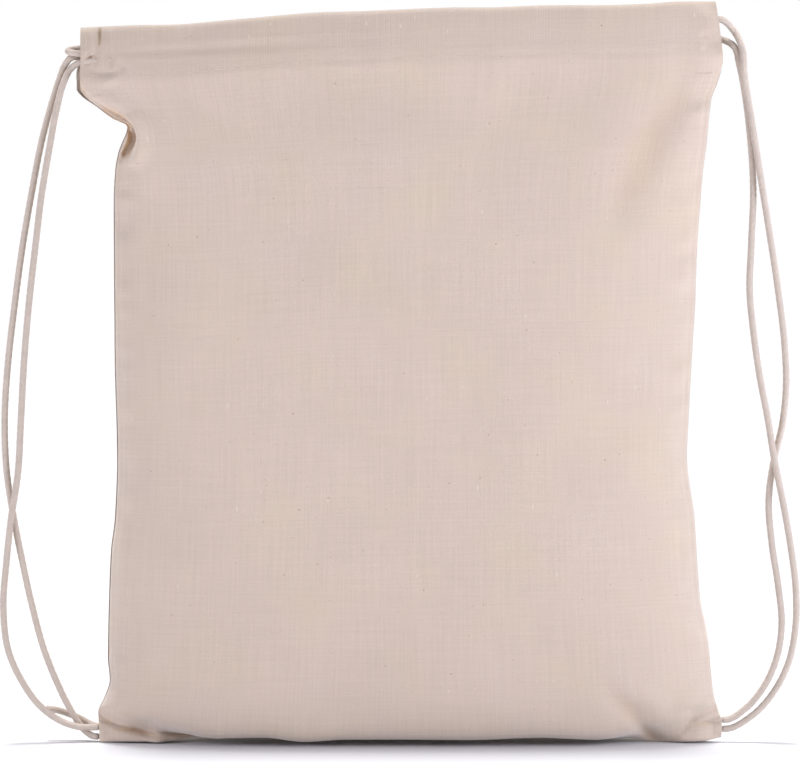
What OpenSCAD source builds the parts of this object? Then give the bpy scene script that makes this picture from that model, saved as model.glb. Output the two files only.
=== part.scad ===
// Drawstring backpack: two cotton panels, two hem casings and two round cords that are
// threaded through the casings and sewn into the bottom corners as shoulder straps.
// The bag stands upright on its base. +Z is up, -Y is the front, +X is the front's right.

/* [Bag] */
// Width of the bag across the hem
bag_w = 380; // [300:5:460]
// Height of the bag at its right end
bag_h = 440; // [400:5:480]
// Depth of the filled bag, from front to back
bag_d = 80; // [60:2:100]
// How much lower the left end of the hem is than the right end
hem_drop = 15.5; // [0:0.5:20]
// Thickness of the cloth, with its finish
cloth_t = 0.8; // [0.6:0.1:1.2]

/* [Hem] */
// Height of each hem casing
casing_h = 31; // [28:0.5:36]
// Thickness of each hem casing, from front to back
casing_d = 7; // [6.8:0.1:9]
// Gap between the two casings at the ends of the mouth
mouth_end_gap = 0.6; // [0.6:0.1:2]
// How far each casing bows away from the middle of the mouth
mouth_bow = 7; // [5:0.5:12]

/* [Cord] */
// Diameter of the round cord
cord_d = 4; // [3:0.5:4]

/* [Stitching] */
// Diameter of the sewing thread's row
thread_d = 0.8; // [0.6:0.1:1.2]
// Width of the turned-in edges inside the seams
seam_w = 9; // [6:1:12]

/* [Hidden] */

cloth_colour = [0.78, 0.70, 0.65];
hem_colour = [0.72, 0.63, 0.58];
thread_colour = [0.86, 0.80, 0.74];
seam_colour = [0.66, 0.56, 0.50];
cord_colour = [0.83, 0.77, 0.73];

half_w = bag_w / 2;
cord_r = cord_d / 2;
seam_gap = 1.1;          // half of the space between the panels, which the seams fill
seam_t = 1.6;            // thickness of a seam's turned-in edges
corner_gap = 2.3;        // the same half space at the bottom corners, round the sewn-in cord
clear = 0.3;             // space left between neighbours
columns = 28;            // facets of a panel from side to side
stations = 20;           // steps of a casing from end to end

// Half widths of the front outline against height, as shares of half_w and of bag_h.
left_outline = [
    [0, 0.947], [0.04, 0.947], [0.082, 0.916], [0.205, 0.916], [0.305, 0.895], [0.727, 0.895],
    [0.79, 0.884], [0.823, 0.863], [0.841, 0.9], [0.873, 0.99], [0.91, 1], [1, 1]
];
right_outline = [
    [0, 1], [0.04, 0.99], [0.095, 0.968], [0.205, 0.937], [0.305, 0.916], [0.386, 0.895],
    [0.53, 0.905], [0.66, 0.921], [0.773, 0.937], [0.873, 0.968], [0.93, 1], [1, 1]
];
// Depth of each panel in front of the seams, as shares of half the bag's depth.
depth_profile = [
    [0, 0.62], [0.004, 0.7], [0.012, 0.78], [0.03, 0.88], [0.06, 0.95], [0.11, 0.99], [0.3, 0.97],
    [0.5, 0.86], [0.7, 0.66], [0.85, 0.42], [0.93, 0.26], [1, 0.22]
];
// Heights of a panel's rows, as shares of its own height, above the flat base.
row_heights = [
    0.004, 0.012, 0.03, 0.055, 0.082, 0.14, 0.205, 0.305, 0.386, 0.47, 0.56, 0.66, 0.73, 0.79,
    0.823, 0.85, 0.88, 0.93, 0.97, 1
];
base_rows = [0.08, 0.4, 0.7, 1];

function mix(a, b, t) = a + (b - a) * t;
function hem_top(x) = bag_h - hem_drop * pow((half_w - x) / bag_w, 2);
function hem_mid(x) = hem_top(x) - casing_h / 2;
function panel_top(x) = hem_top(x) - casing_h - clear;
function side_x(u, s) =
    half_w * (u < 0 ? u * lookup(s, left_outline) : u * lookup(s, right_outline));
function crown(u) = 0.03 + 0.97 * pow(1 - pow(abs(u), 4), 0.6);
function edge_gap(s) = lookup(s, [[0, corner_gap], [0.04, corner_gap], [0.08, seam_gap]]);
function casing_y(x) = mouth_end_gap / 2 + casing_d / 2 + mouth_bow * cos(90 * x / half_w);

// A point of a panel: u runs from -1 at the left seam to 1 at the right seam, s is the share
// of the height, depth is the share of the depth there, and skin is 1 outside and 0 inside.
function panel_point(u, s, depth, skin) =
    let (
        shrink = 1 - (1 - skin) * cloth_t / half_w,
        x = side_x(u, s) * shrink,
        reach = (bag_d / 2 - corner_gap - cloth_t) * depth * crown(u),
        z = s * panel_top(half_w * u)
    )
    [x, -(edge_gap(s) + skin * cloth_t + reach), max(z, (1 - skin) * cloth_t)];

function panel_row(s, depth, skin) =
    [for (i = [0:columns]) panel_point(-1 + 2 * i / columns, s, depth, skin)];

function panel_rows(skin) = concat(
    [for (b = base_rows) panel_row(0, b * lookup(0, depth_profile), skin)],
    [for (s = row_heights) panel_row(s, lookup(s, depth_profile), skin)]
);

function flatten(lists) = [for (l = lists) each l];

// Faces of a sheet: the outer grid, the inner grid behind it and the four edges between them.
function sheet_faces(rows, cols) =
    let (back = rows * cols)
    concat(
        [for (r = [0:rows - 2], c = [0:cols - 2]) let (p = r * cols + c)
            each [[p, p + cols, p + cols + 1], [p, p + cols + 1, p + 1]]],
        [for (r = [0:rows - 2], c = [0:cols - 2]) let (p = back + r * cols + c)
            each [[p, p + cols + 1, p + cols], [p, p + 1, p + cols + 1]]],
        [for (c = [0:cols - 2]) let (p = c)
            each [[p, p + 1, back + p + 1], [p, back + p + 1, back + p]]],
        [for (c = [0:cols - 2]) let (p = (rows - 1) * cols + c)
            each [[p, back + p + 1, p + 1], [p, back + p, back + p + 1]]],
        [for (r = [0:rows - 2]) let (p = r * cols)
            each [[p, back + p + cols, p + cols], [p, back + p, back + p + cols]]],
        [for (r = [0:rows - 2]) let (p = r * cols + cols - 1)
            each [[p, p + cols, back + p + cols], [p, back + p + cols, back + p]]]
    );

module panel() {
    rows = len(base_rows) + len(row_heights);
    points = concat(flatten(panel_rows(1)), flatten(panel_rows(0)));
    color(cloth_colour)
        polyhedron(points = points, faces = sheet_faces(rows, columns + 1), convexity = 6);
}

// Tube swept along a route. A domed end is a half ball whose centre is the route's own end.
function unit(v) = v / norm(v);
function heading(route, i) =
    unit(route[min(i + 1, len(route) - 1)] - route[max(i - 1, 0)]);
function ring(centre, dir, r, sides) =
    let (
        side = unit(cross(dir, [0, 1, 0.001])),
        up = cross(side, dir)
    )
    [for (k = [0:sides - 1]) let (a = 360 * (k + 0.5) / sides)
        centre + r * (cos(a) * side + sin(a) * up)];
function dome(centre, dir, r, sides, sign) =
    [for (a = sign < 0 ? [75, 40] : [40, 75])
        ring(centre + sign * r * sin(a) * dir, dir, r * cos(a), sides)];

module tube(route, r, sides = 8, domed = false) {
    last = len(route) - 1;
    rings = concat(
        domed ? dome(route[0], heading(route, 0), r, sides, -1) : [],
        [for (i = [0:last]) ring(route[i], heading(route, i), r, sides)],
        domed ? dome(route[last], heading(route, last), r, sides, 1) : []
    );
    n = len(rings);
    faces = concat(
        [[for (k = [0:sides - 1]) k]],
        [for (i = [0:n - 2], k = [0:sides - 1])
            let (a = i * sides + k, b = i * sides + (k + 1) % sides)
            each [[a, a + sides, b + sides], [a, b + sides, b]]],
        [[for (k = [sides - 1:-1:0]) (n - 1) * sides + k]]
    );
    polyhedron(points = flatten(rings), faces = faces, convexity = 8);
}

// Section of a casing across its length: a flat ring with chamfered corners.
function casing_ring(x, inset, toward) =
    let (
        a = casing_d / 2 - inset,
        b = casing_h / 2 - inset,
        c = 2.2 - inset / 2,
        section = [
            [a, b - c], [a - c, b], [c - a, b], [-a, b - c],
            [-a, c - b], [c - a, -b], [a - c, -b], [a, c - b]
        ]
    )
    [for (p = section) [x, toward * casing_y(x) + p[0], hem_mid(x) + p[1]]];

casing_left = -half_w;
casing_right = half_w - 6.5;    // leaves room for the cord's turn inside the hem's outline

module casing(toward) {
    n = 8;
    total = (stations + 1) * n;
    xs = [for (i = [0:stations]) mix(casing_left, casing_right, i / stations)];
    points = concat(
        [for (x = xs) each casing_ring(x, 0, toward)],
        [for (x = xs) each casing_ring(x, cloth_t, toward)]
    );
    faces = concat(
        [for (i = [0:stations - 1], k = [0:n - 1])
            let (a = i * n + k, b = i * n + (k + 1) % n)
            each [[a, b, b + n], [a, b + n, a + n]]],
        [for (i = [0:stations - 1], k = [0:n - 1])
            let (a = total + i * n + k, b = total + i * n + (k + 1) % n)
            each [[a, b + n, b], [a, a + n, b + n]]],
        [for (k = [0:n - 1]) let (a = k, b = (k + 1) % n)
            each [[a, total + b, b], [a, total + a, total + b]]],
        [for (k = [0:n - 1]) let (a = stations * n + k, b = stations * n + (k + 1) % n)
            each [[a, b, total + b], [a, total + b, total + a]]]
    );
    color(hem_colour)
        polyhedron(points = points, faces = faces, convexity = 6);
}

// Rows of stitches on a casing's outer face.
module hem_stitching(toward) {
    rise = 2.4;
    out = casing_d / 2 + thread_d / 2 + 0.1;
    route = [for (i = [0:stations])
        let (x = mix(casing_left + 6, casing_right - 6, i / stations))
        [x, toward * (casing_y(x) + out), hem_top(x) - casing_h + rise]];
    color(thread_colour)
        tube(route, thread_d / 2, 6);
}

module casing_end_stitching(toward) {
    out = casing_d / 2 + thread_d / 2 + 0.3;
    color(thread_colour)
        for (x = [casing_left + 4, casing_right - 4])
            translate([x, toward * (casing_y(x) + out), hem_mid(x) - 9])
                cylinder(d = thread_d, h = 18, $fn = 16);
}

// Turned-in edges of a side seam, oversewn with thread, inside the bag.
module side_seam(u, low) {
    high = panel_top(half_w * u) / bag_h - 0.01;
    steps = [for (i = [0:24]) mix(low, high, i / 24)];
    outer = [for (s = steps) [side_x(u, s), s * bag_h]];
    inner = [for (i = [24:-1:0]) [side_x(u, steps[i]) - u * seam_w, steps[i] * bag_h]];
    color(seam_colour)
        rotate([90, 0, 0])
            linear_extrude(height = seam_t, center = true)
                polygon(concat(outer, inner));
}

module bottom_seam() {
    color(seam_colour)
        translate([mix(-half_w, half_w, 0.075), -seam_t / 2, 0])
            cube([bag_w * 0.85, seam_t, seam_w]);
}

// Dense bars of stitches on both panels, along a line from one place on a panel to another.
module bartacks(from, to) {
    bar_r = 0.6;
    out = 1.5;
    color(thread_colour)
        for (side = [-1, 1])
            tube(
                [for (t = [0:0.25:1])
                    let (
                        u = mix(from[0], to[0], t),
                        s = mix(from[1], to[1], t),
                        p = panel_point(u, s, lookup(s, depth_profile), 1)
                    )
                    [p[0], side * (out - p[1]), p[2]]],
                bar_r, 6
            );
}

// Cord routes, in millimetres. Each strand starts at its casing and ends at its bottom corner.
left_front_route = [
    [-196, 0, 399.5], [-200, -1.5, 391], [-204, -2, 376], [-208, -2, 355], [-213, -2, 326],
    [-217, -2, 294], [-221, -2, 260], [-224, -2, 226], [-226, -2, 192], [-228, -2.2, 160],
    [-232, -2.4, 134], [-235, -2, 108], [-237, -2, 80], [-234, -2, 54], [-226, -2, 36],
    [-216, -2, 22], [-204, -2.2, 13], [-192, -2.4, 9], [-183, 0, 8.5]
];
left_back_route = [
    [-196, 0, 406], [-199, 2.2, 402.5], [-203, 2.8, 392.5], [-207, 2.6, 380], [-213, 2.2, 358],
    [-219, 2, 328], [-225, 2, 294], [-230, 2, 258], [-234, 2, 224], [-236, 2, 192],
    [-235, 2.2, 162], [-231, 2.4, 134], [-226, 2, 108], [-220, 2, 80], [-213, 2, 54],
    [-206, 2, 36], [-200, 2.4, 23], [-194, 2.6, 12.5], [-189, 2.6, 6], [-183, 0, 3]
];
left_tail_route = [
    [-184, 4.6, 9], [-188, 6.4, 10.5], [-193, 7.4, 13], [-199, 7.4, 15.5], [-205, 7, 17.5],
    [-213, 6, 19]
];
right_front_route = [
    [196, 0, 422], [200.5, -3.2, 412], [202, -2.6, 396], [206, -2, 372], [211, -1, 342],
    [217, 0, 306], [223, 1, 268], [227, 2, 236], [228, 2.2, 212], [226, 2.4, 190],
    [221, 2.4, 168], [218, 2.2, 144], [220, 2, 118], [224, 2, 92], [226, 1, 70],
    [223, 0, 50], [215, 0, 32], [205, 0, 20], [193, 0, 13]
];
right_back_route = [
    [196, 0, 413], [199.5, 2.6, 402], [203, 3, 384], [206, 3, 360], [208, 3, 330],
    [207, 2, 298], [206, 1, 268], [208, -1, 246], [212, -2, 218], [217, -2.4, 192],
    [221, -2.4, 168], [226, -2.2, 144], [231, -2, 116], [234, -2, 92], [234, -1, 68],
    [230, 0, 47], [221, 0, 29], [208, 0, 15], [193, 0, 7.5]
];

run_end = half_w + 2.6;         // a run's tip outside the casing, by the strand's domed end
run_tip_y = 1.4;                // and its distance from the plane between the panels
turned_end = casing_right - 0.7;

// A run lies in its casing at an offset from the casing's middle that changes evenly.
function run_points(low_x, high_x, low_off, high_off, toward) =
    [for (i = [0:12])
        let (t = i / 12, x = mix(low_x, high_x, t))
        [x, toward * casing_y(x), hem_mid(x) + mix(low_off, high_off, t)]];

left_front_run = concat(
    [[-run_end, -run_tip_y, 400.9]],
    run_points(-half_w, turned_end, -5, -12.4, -1)
);
left_back_run = concat(
    [[-run_end, run_tip_y, 406.4]],
    run_points(-half_w, turned_end, -2.4, -12.4, 1)
);
right_front_run = concat(
    run_points(-half_w + 0.6, half_w - 1, -0.2, 4.5, -1),
    [[run_end, -run_tip_y, 426.5]]
);
right_back_run = concat(
    run_points(-half_w + 0.6, casing_right, 2.8, -7.1, 1),
    [[half_w - 0.5, 2.8, 416.3], [run_end, run_tip_y, 415]]
);

// Turn of a cord from the front casing to the back casing, round the end of the mouth.
function turn_route(x, front_z, back_z, bulge) =
    let (r = casing_y(x))
    concat(
        [[x, -r, front_z]],
        [for (a = [-67.5:22.5:67.5])
            [x + sign(x) * (bulge + r * cos(a)), r * sin(a), mix(front_z, back_z, 0.5 + a / 180)]],
        [[x, r, back_z]]
    );

module cord(route, domed = false) {
    color(cord_colour)
        tube(route, cord_r, 8, domed);
}

// Ends of a cord inside a bottom corner, between the panels.
module sewn_ends(u, tip, heights) {
    color(cord_colour)
        for (z = heights)
            tube([for (k = [0:3]) [tip - u * k * 5, 0, z]], cord_r, 8);
}

module front_panel() { panel(); }
module back_panel() { mirror([0, 1, 0]) panel(); }
module left_side_seam() { side_seam(-1, 0.05); }
module right_side_seam() { side_seam(1, 0.05); }
module left_top_bartack() { bartacks([-0.98, 0.975], [-0.93, 0.975]); }
module right_top_bartack() { bartacks([0.93, 0.975], [0.98, 0.975]); }
module left_corner_bartack() { bartacks([-0.97, 0.012], [-0.97, 0.035]); }
module right_corner_bartack() { bartacks([0.97, 0.012], [0.97, 0.04]); }
module front_casing() { casing(-1); }
module front_hem_stitching() { hem_stitching(-1); }
module front_casing_end_stitching() { casing_end_stitching(-1); }
module back_casing() { casing(1); }
module back_hem_stitching() { hem_stitching(1); }
module back_casing_end_stitching() { casing_end_stitching(1); }
module left_cord_front_strand() { cord(left_front_route, true); }
module left_cord_front_run() { cord(left_front_run); }
module left_cord_turn() { cord(turn_route(casing_right + 0.4, 412.1, 412.1, 0)); }
module left_cord_back_run() { cord(left_back_run); }
module left_cord_back_strand() { cord(left_back_route, true); }
module left_cord_tail() { cord(left_tail_route); }
module left_cord_sewn_ends() { sewn_ends(-1, side_x(-1, 0) + clear, [3, 8.5]); }
module right_cord_front_strand() { cord(right_front_route, true); }
module right_cord_front_run() { cord(right_front_run); }
module right_cord_turn() { cord(turn_route(casing_left - 0.4, 408.8, 411.8, 3)); }
module right_cord_back_run() { cord(right_back_run); }
module right_cord_back_strand() { cord(right_back_route, true); }
module right_cord_sewn_ends() { sewn_ends(1, side_x(1, 0) - clear, [7.5, 13]); }

front_panel();
back_panel();
left_side_seam();
right_side_seam();
bottom_seam();
left_top_bartack();
right_top_bartack();
left_corner_bartack();
right_corner_bartack();
front_casing();
front_hem_stitching();
front_casing_end_stitching();
back_casing();
back_hem_stitching();
back_casing_end_stitching();
left_cord_front_strand();
left_cord_front_run();
left_cord_turn();
left_cord_back_run();
left_cord_back_strand();
left_cord_tail();
left_cord_sewn_ends();
right_cord_front_strand();
right_cord_front_run();
right_cord_turn();
right_cord_back_run();
right_cord_back_strand();
right_cord_sewn_ends();
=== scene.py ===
"""Drawstring backpack: unbleached cotton bag with round cords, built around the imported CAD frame."""
import math

import bpy
import numpy as np
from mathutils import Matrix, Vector
from mathutils.bvhtree import BVHTree


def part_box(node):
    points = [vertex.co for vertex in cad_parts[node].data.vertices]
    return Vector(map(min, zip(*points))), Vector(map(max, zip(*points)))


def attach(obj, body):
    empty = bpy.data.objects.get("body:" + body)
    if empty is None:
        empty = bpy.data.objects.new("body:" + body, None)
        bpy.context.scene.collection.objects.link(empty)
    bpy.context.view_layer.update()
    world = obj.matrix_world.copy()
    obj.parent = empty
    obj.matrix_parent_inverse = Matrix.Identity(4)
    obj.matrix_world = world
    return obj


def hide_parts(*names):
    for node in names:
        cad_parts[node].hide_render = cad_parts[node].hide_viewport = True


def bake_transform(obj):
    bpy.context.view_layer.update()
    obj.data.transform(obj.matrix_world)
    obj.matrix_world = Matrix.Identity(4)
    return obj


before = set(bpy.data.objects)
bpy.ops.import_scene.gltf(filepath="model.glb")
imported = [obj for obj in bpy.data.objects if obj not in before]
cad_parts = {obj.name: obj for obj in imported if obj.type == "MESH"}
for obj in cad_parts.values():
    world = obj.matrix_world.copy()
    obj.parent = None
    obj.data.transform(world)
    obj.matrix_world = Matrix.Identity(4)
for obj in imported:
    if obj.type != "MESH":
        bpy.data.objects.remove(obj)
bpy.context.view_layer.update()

MM = 0.001

# ---------------------------------------------------------------- sizes from the frame
PANEL_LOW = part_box("front_panel")[0]
CASING_LOW, CASING_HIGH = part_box("front_casing")
HALF_W = -CASING_LOW.x                      # half of the hem's width
BAG_H = CASING_HIGH.z                       # height of the hem's right end
MAX_DEPTH = -PANEL_LOW.y                    # depth of the front panel before the seams
HEM_H = 31 * MM                             # height of the hem casing
HEM_DROP = 15.5 * MM                        # how much lower the hem's left end is
CASING_MID_END = 3.8 * MM                   # casing's middle from the seam plane at its ends
MOUTH_BOW = 7 * MM                          # how far the casing bows away in the middle
CORD_D = 4 * MM
CLOTH_T = 0.4 * MM                          # thickness of one layer of cloth
EDGE_T = 0.9 * MM                           # thickness of a seam's turned-in edges
THREAD_R = 0.17                             # radius of the sewing thread, in millimetres
ROW_RISE = 2.4                              # row of stitches above the casing's lower edge, in mm
STITCH_PITCH, STITCH_LENGTH = 3.1, 2.7      # of every row of stitches, in millimetres
SEAM_STEP = 2.0                             # between the points of a seam's strip, in millimetres
CLEAR = 0.08                                # least distance of cloth from the seam plane, in mm

# ---------------------------------------------------------------- cord routes, in millimetres
LEFT_FRONT_ROUTE = [
    (-196, 0, 399.5), (-200, -1.5, 391), (-204, -2, 376), (-208, -2, 355), (-213, -2, 326),
    (-217, -2, 294), (-221, -2, 260), (-224, -2, 226), (-226, -2, 192), (-228, -2.2, 160),
    (-232, -2.4, 134), (-235, -2, 108), (-237, -2, 80), (-234, -2, 54), (-226, -2, 36),
    (-216, -2, 22), (-204, -2.2, 13), (-192, -2.4, 9), (-183, 0, 8.5),
]
LEFT_BACK_ROUTE = [
    (-196, 0, 406), (-199, 2.2, 402.5), (-203, 2.8, 392.5), (-207, 2.6, 380), (-213, 2.2, 358),
    (-219, 2, 328), (-225, 2, 294), (-230, 2, 258), (-234, 2, 224), (-236, 2, 192),
    (-235, 2.2, 162), (-231, 2.4, 134), (-226, 2, 108), (-220, 2, 80), (-213, 2, 54),
    (-206, 2, 36), (-200, 2.4, 23), (-194, 2.6, 12.5), (-189, 2.6, 6), (-183, 0, 3),
]
LEFT_TAIL_ROUTE = [
    (-184, 4.6, 9), (-188, 6.4, 10.5), (-193, 7.4, 13), (-199, 7.4, 15.5), (-205, 7, 17.5),
    (-213, 6, 19),
]
RIGHT_FRONT_ROUTE = [
    (196, 0, 422), (200.5, -3.2, 412), (202, -2.6, 396), (206, -2, 372), (211, -1, 342),
    (217, 0, 306), (223, 1, 268), (227, 2, 236), (228, 2.2, 212), (226, 2.4, 190),
    (221, 2.4, 168), (218, 2.2, 144), (220, 2, 118), (224, 2, 92), (226, 1, 70),
    (223, 0, 50), (215, 0, 32), (205, 0, 20), (193, 0, 13),
]
RIGHT_BACK_ROUTE = [
    (196, 0, 413), (199.5, 2.6, 402), (203, 3, 384), (206, 3, 360), (208, 3, 330),
    (207, 2, 298), (206, 1, 268), (208, -1, 246), (212, -2, 218), (217, -2.4, 192),
    (221, -2.4, 168), (226, -2.2, 144), (231, -2, 116), (234, -2, 92), (234, -1, 68),
    (230, 0, 47), (221, 0, 29), (208, 0, 15), (193, 0, 7.5),
]
# Heights of the cords above the middle of the hem, inside the casings: (left end, right end).
LEFT_FRONT_OFFSETS = (-5, -12.4)
LEFT_BACK_OFFSETS = (-2.4, -12.4)
RIGHT_FRONT_OFFSETS = (-0.2, 4.5)
RIGHT_BACK_OFFSETS = (2.8, -7.1)


# ---------------------------------------------------------------- camera
def make_camera():
    view_width = 0.4745        # width of the view at the bag
    distance = 2.6
    elevation = math.radians(3.5)
    target = Vector((-0.0012, 0, 0.2122))
    data = bpy.data.cameras.new("camera")
    data.sensor_width = 36
    data.lens = data.sensor_width * distance / view_width
    data.clip_end = 60
    cam = bpy.data.objects.new("camera", data)
    back = Vector((0, -math.cos(elevation), math.sin(elevation)))
    cam.location = target + back * distance
    cam.rotation_mode = "QUATERNION"
    cam.rotation_quaternion = (-back).to_track_quat("-Z", "Y")
    bpy.context.scene.collection.objects.link(cam)
    bpy.context.scene.camera = cam


# ---------------------------------------------------------------- helpers
def smoothstep(a, b, x):
    t = np.clip((x - a) / (b - a), 0, 1)
    return t * t * (3 - 2 * t)


def spline(points, step):
    """Points about step apart on one smooth curve through the given points."""
    p = np.array(points, float)
    h = np.linalg.norm(np.diff(p, axis=0), axis=1)
    t = np.concatenate([[0], np.cumsum(h)])
    slope = np.diff(p, axis=0) / h[:, None]
    m = np.vstack([slope[:1], slope[:1].repeat(len(p) - 2, 0), slope[-1:]])
    m[1:-1] = (slope[:-1] * h[1:, None] + slope[1:] * h[:-1, None]) / (h[1:] + h[:-1])[:, None]
    q = np.linspace(0, t[-1], max(2, int(round(t[-1] / step)) + 1))
    i = np.clip(np.searchsorted(t, q, side="right") - 1, 0, len(h) - 1)
    s, hh = ((q - t[i]) / h[i])[:, None], h[i][:, None]
    return (
        (2 * s**3 - 3 * s**2 + 1) * p[i]
        + (s**3 - 2 * s**2 + s) * hh * m[i]
        + (3 * s**2 - 2 * s**3) * p[i + 1]
        + (s**3 - s**2) * hh * m[i + 1]
    )


def curve_value(points, x):
    """Smooth function of x through the given (x, value) points, flat at its turning points."""
    px, py = np.array(points, float).T
    h, slope = np.diff(px), np.diff(py) / np.diff(px)
    m = np.zeros(len(px))
    same = slope[:-1] * slope[1:] > 0
    mean = 2 * slope[:-1] * slope[1:] / np.where(same, slope[:-1] + slope[1:], 1)
    m[1:-1] = np.where(same, mean, 0)
    m[0], m[-1] = slope[0], slope[-1]
    x = np.clip(x, px[0], px[-1])
    i = np.clip(np.searchsorted(px, x, side="right") - 1, 0, len(h) - 1)
    s = (x - px[i]) / h[i]
    return (
        (2 * s**3 - 3 * s**2 + 1) * py[i]
        + (s**3 - 2 * s**2 + s) * h[i] * m[i]
        + (3 * s**2 - 2 * s**3) * py[i + 1]
        + (s**3 - s**2) * h[i] * m[i + 1]
    )


def link_mesh(name, verts, faces, material, uv=None):
    mesh = bpy.data.meshes.new(name)
    mesh.from_pydata([tuple(v) for v in verts], [], [tuple(f) for f in faces])
    mesh.materials.append(material)
    mesh.shade_smooth()
    if uv is not None:
        layer = mesh.uv_layers.new(name="cloth")
        index = np.zeros(len(mesh.loops), np.int32)
        mesh.loops.foreach_get("vertex_index", index)
        layer.data.foreach_set("uv", np.asarray(uv, np.float32)[index].ravel())
    obj = bpy.data.objects.new(name, mesh)
    bpy.context.scene.collection.objects.link(obj)
    return obj


def grid_faces(rows, cols, flip=False):
    r, c = np.meshgrid(np.arange(rows - 1), np.arange(cols - 1), indexing="ij")
    p = (r * cols + c).ravel()
    faces = np.stack([p, p + cols, p + cols + 1, p + 1], axis=1)
    return faces[:, ::-1] if flip else faces


def set_blend(obj):
    """Bakes a piece's placement into its own mesh."""
    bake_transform(obj)


# ---------------------------------------------------------------- materials
class Nodes:
    """Short calls for building a material's node tree."""

    def __init__(self, name):
        self.material = bpy.data.materials.new(name)
        self.material.use_nodes = True
        self.tree = self.material.node_tree
        self.bsdf = self.tree.nodes["Principled BSDF"]

    def node(self, kind, **values):
        made = self.tree.nodes.new(kind)
        for key, value in values.items():
            setattr(made, key, value)
        return made

    def link(self, source, target):
        self.tree.links.new(source, target)

    def put(self, socket, value):
        if hasattr(value, "is_output"):
            self.link(value, socket)
        else:
            socket.default_value = value

    def math(self, operation, a, b=0.0, c=0.0, clamp=False):
        made = self.node("ShaderNodeMath", operation=operation, use_clamp=clamp)
        for socket, value in zip(made.inputs, (a, b, c)):
            self.put(socket, value)
        return made.outputs[0]

    def noise(self, vector, scale, detail=2.0, roughness=0.5):
        made = self.node("ShaderNodeTexNoise")
        made.inputs["Scale"].default_value = scale
        made.inputs["Detail"].default_value = detail
        made.inputs["Roughness"].default_value = roughness
        self.put(made.inputs["Vector"], vector)
        return made.outputs[0]

    def vector(self, x, y, z=0.0):
        made = self.node("ShaderNodeCombineXYZ")
        for socket, value in zip(made.inputs, (x, y, z)):
            self.put(socket, value)
        return made.outputs[0]

    def remap(self, value, low, high, to_low, to_high):
        made = self.node("ShaderNodeMapRange")
        for key, v in zip(("Value", "From Min", "From Max", "To Min", "To Max"),
                          (value, low, high, to_low, to_high)):
            self.put(made.inputs[key], v)
        return made.outputs[0]

    def mix(self, factor, a, b, blend="MIX"):
        made = self.node("ShaderNodeMix", data_type="RGBA", blend_type=blend)
        self.put(made.inputs[0], factor)
        self.put(made.inputs[6], a)
        self.put(made.inputs[7], b)
        return made.outputs[2]


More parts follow.
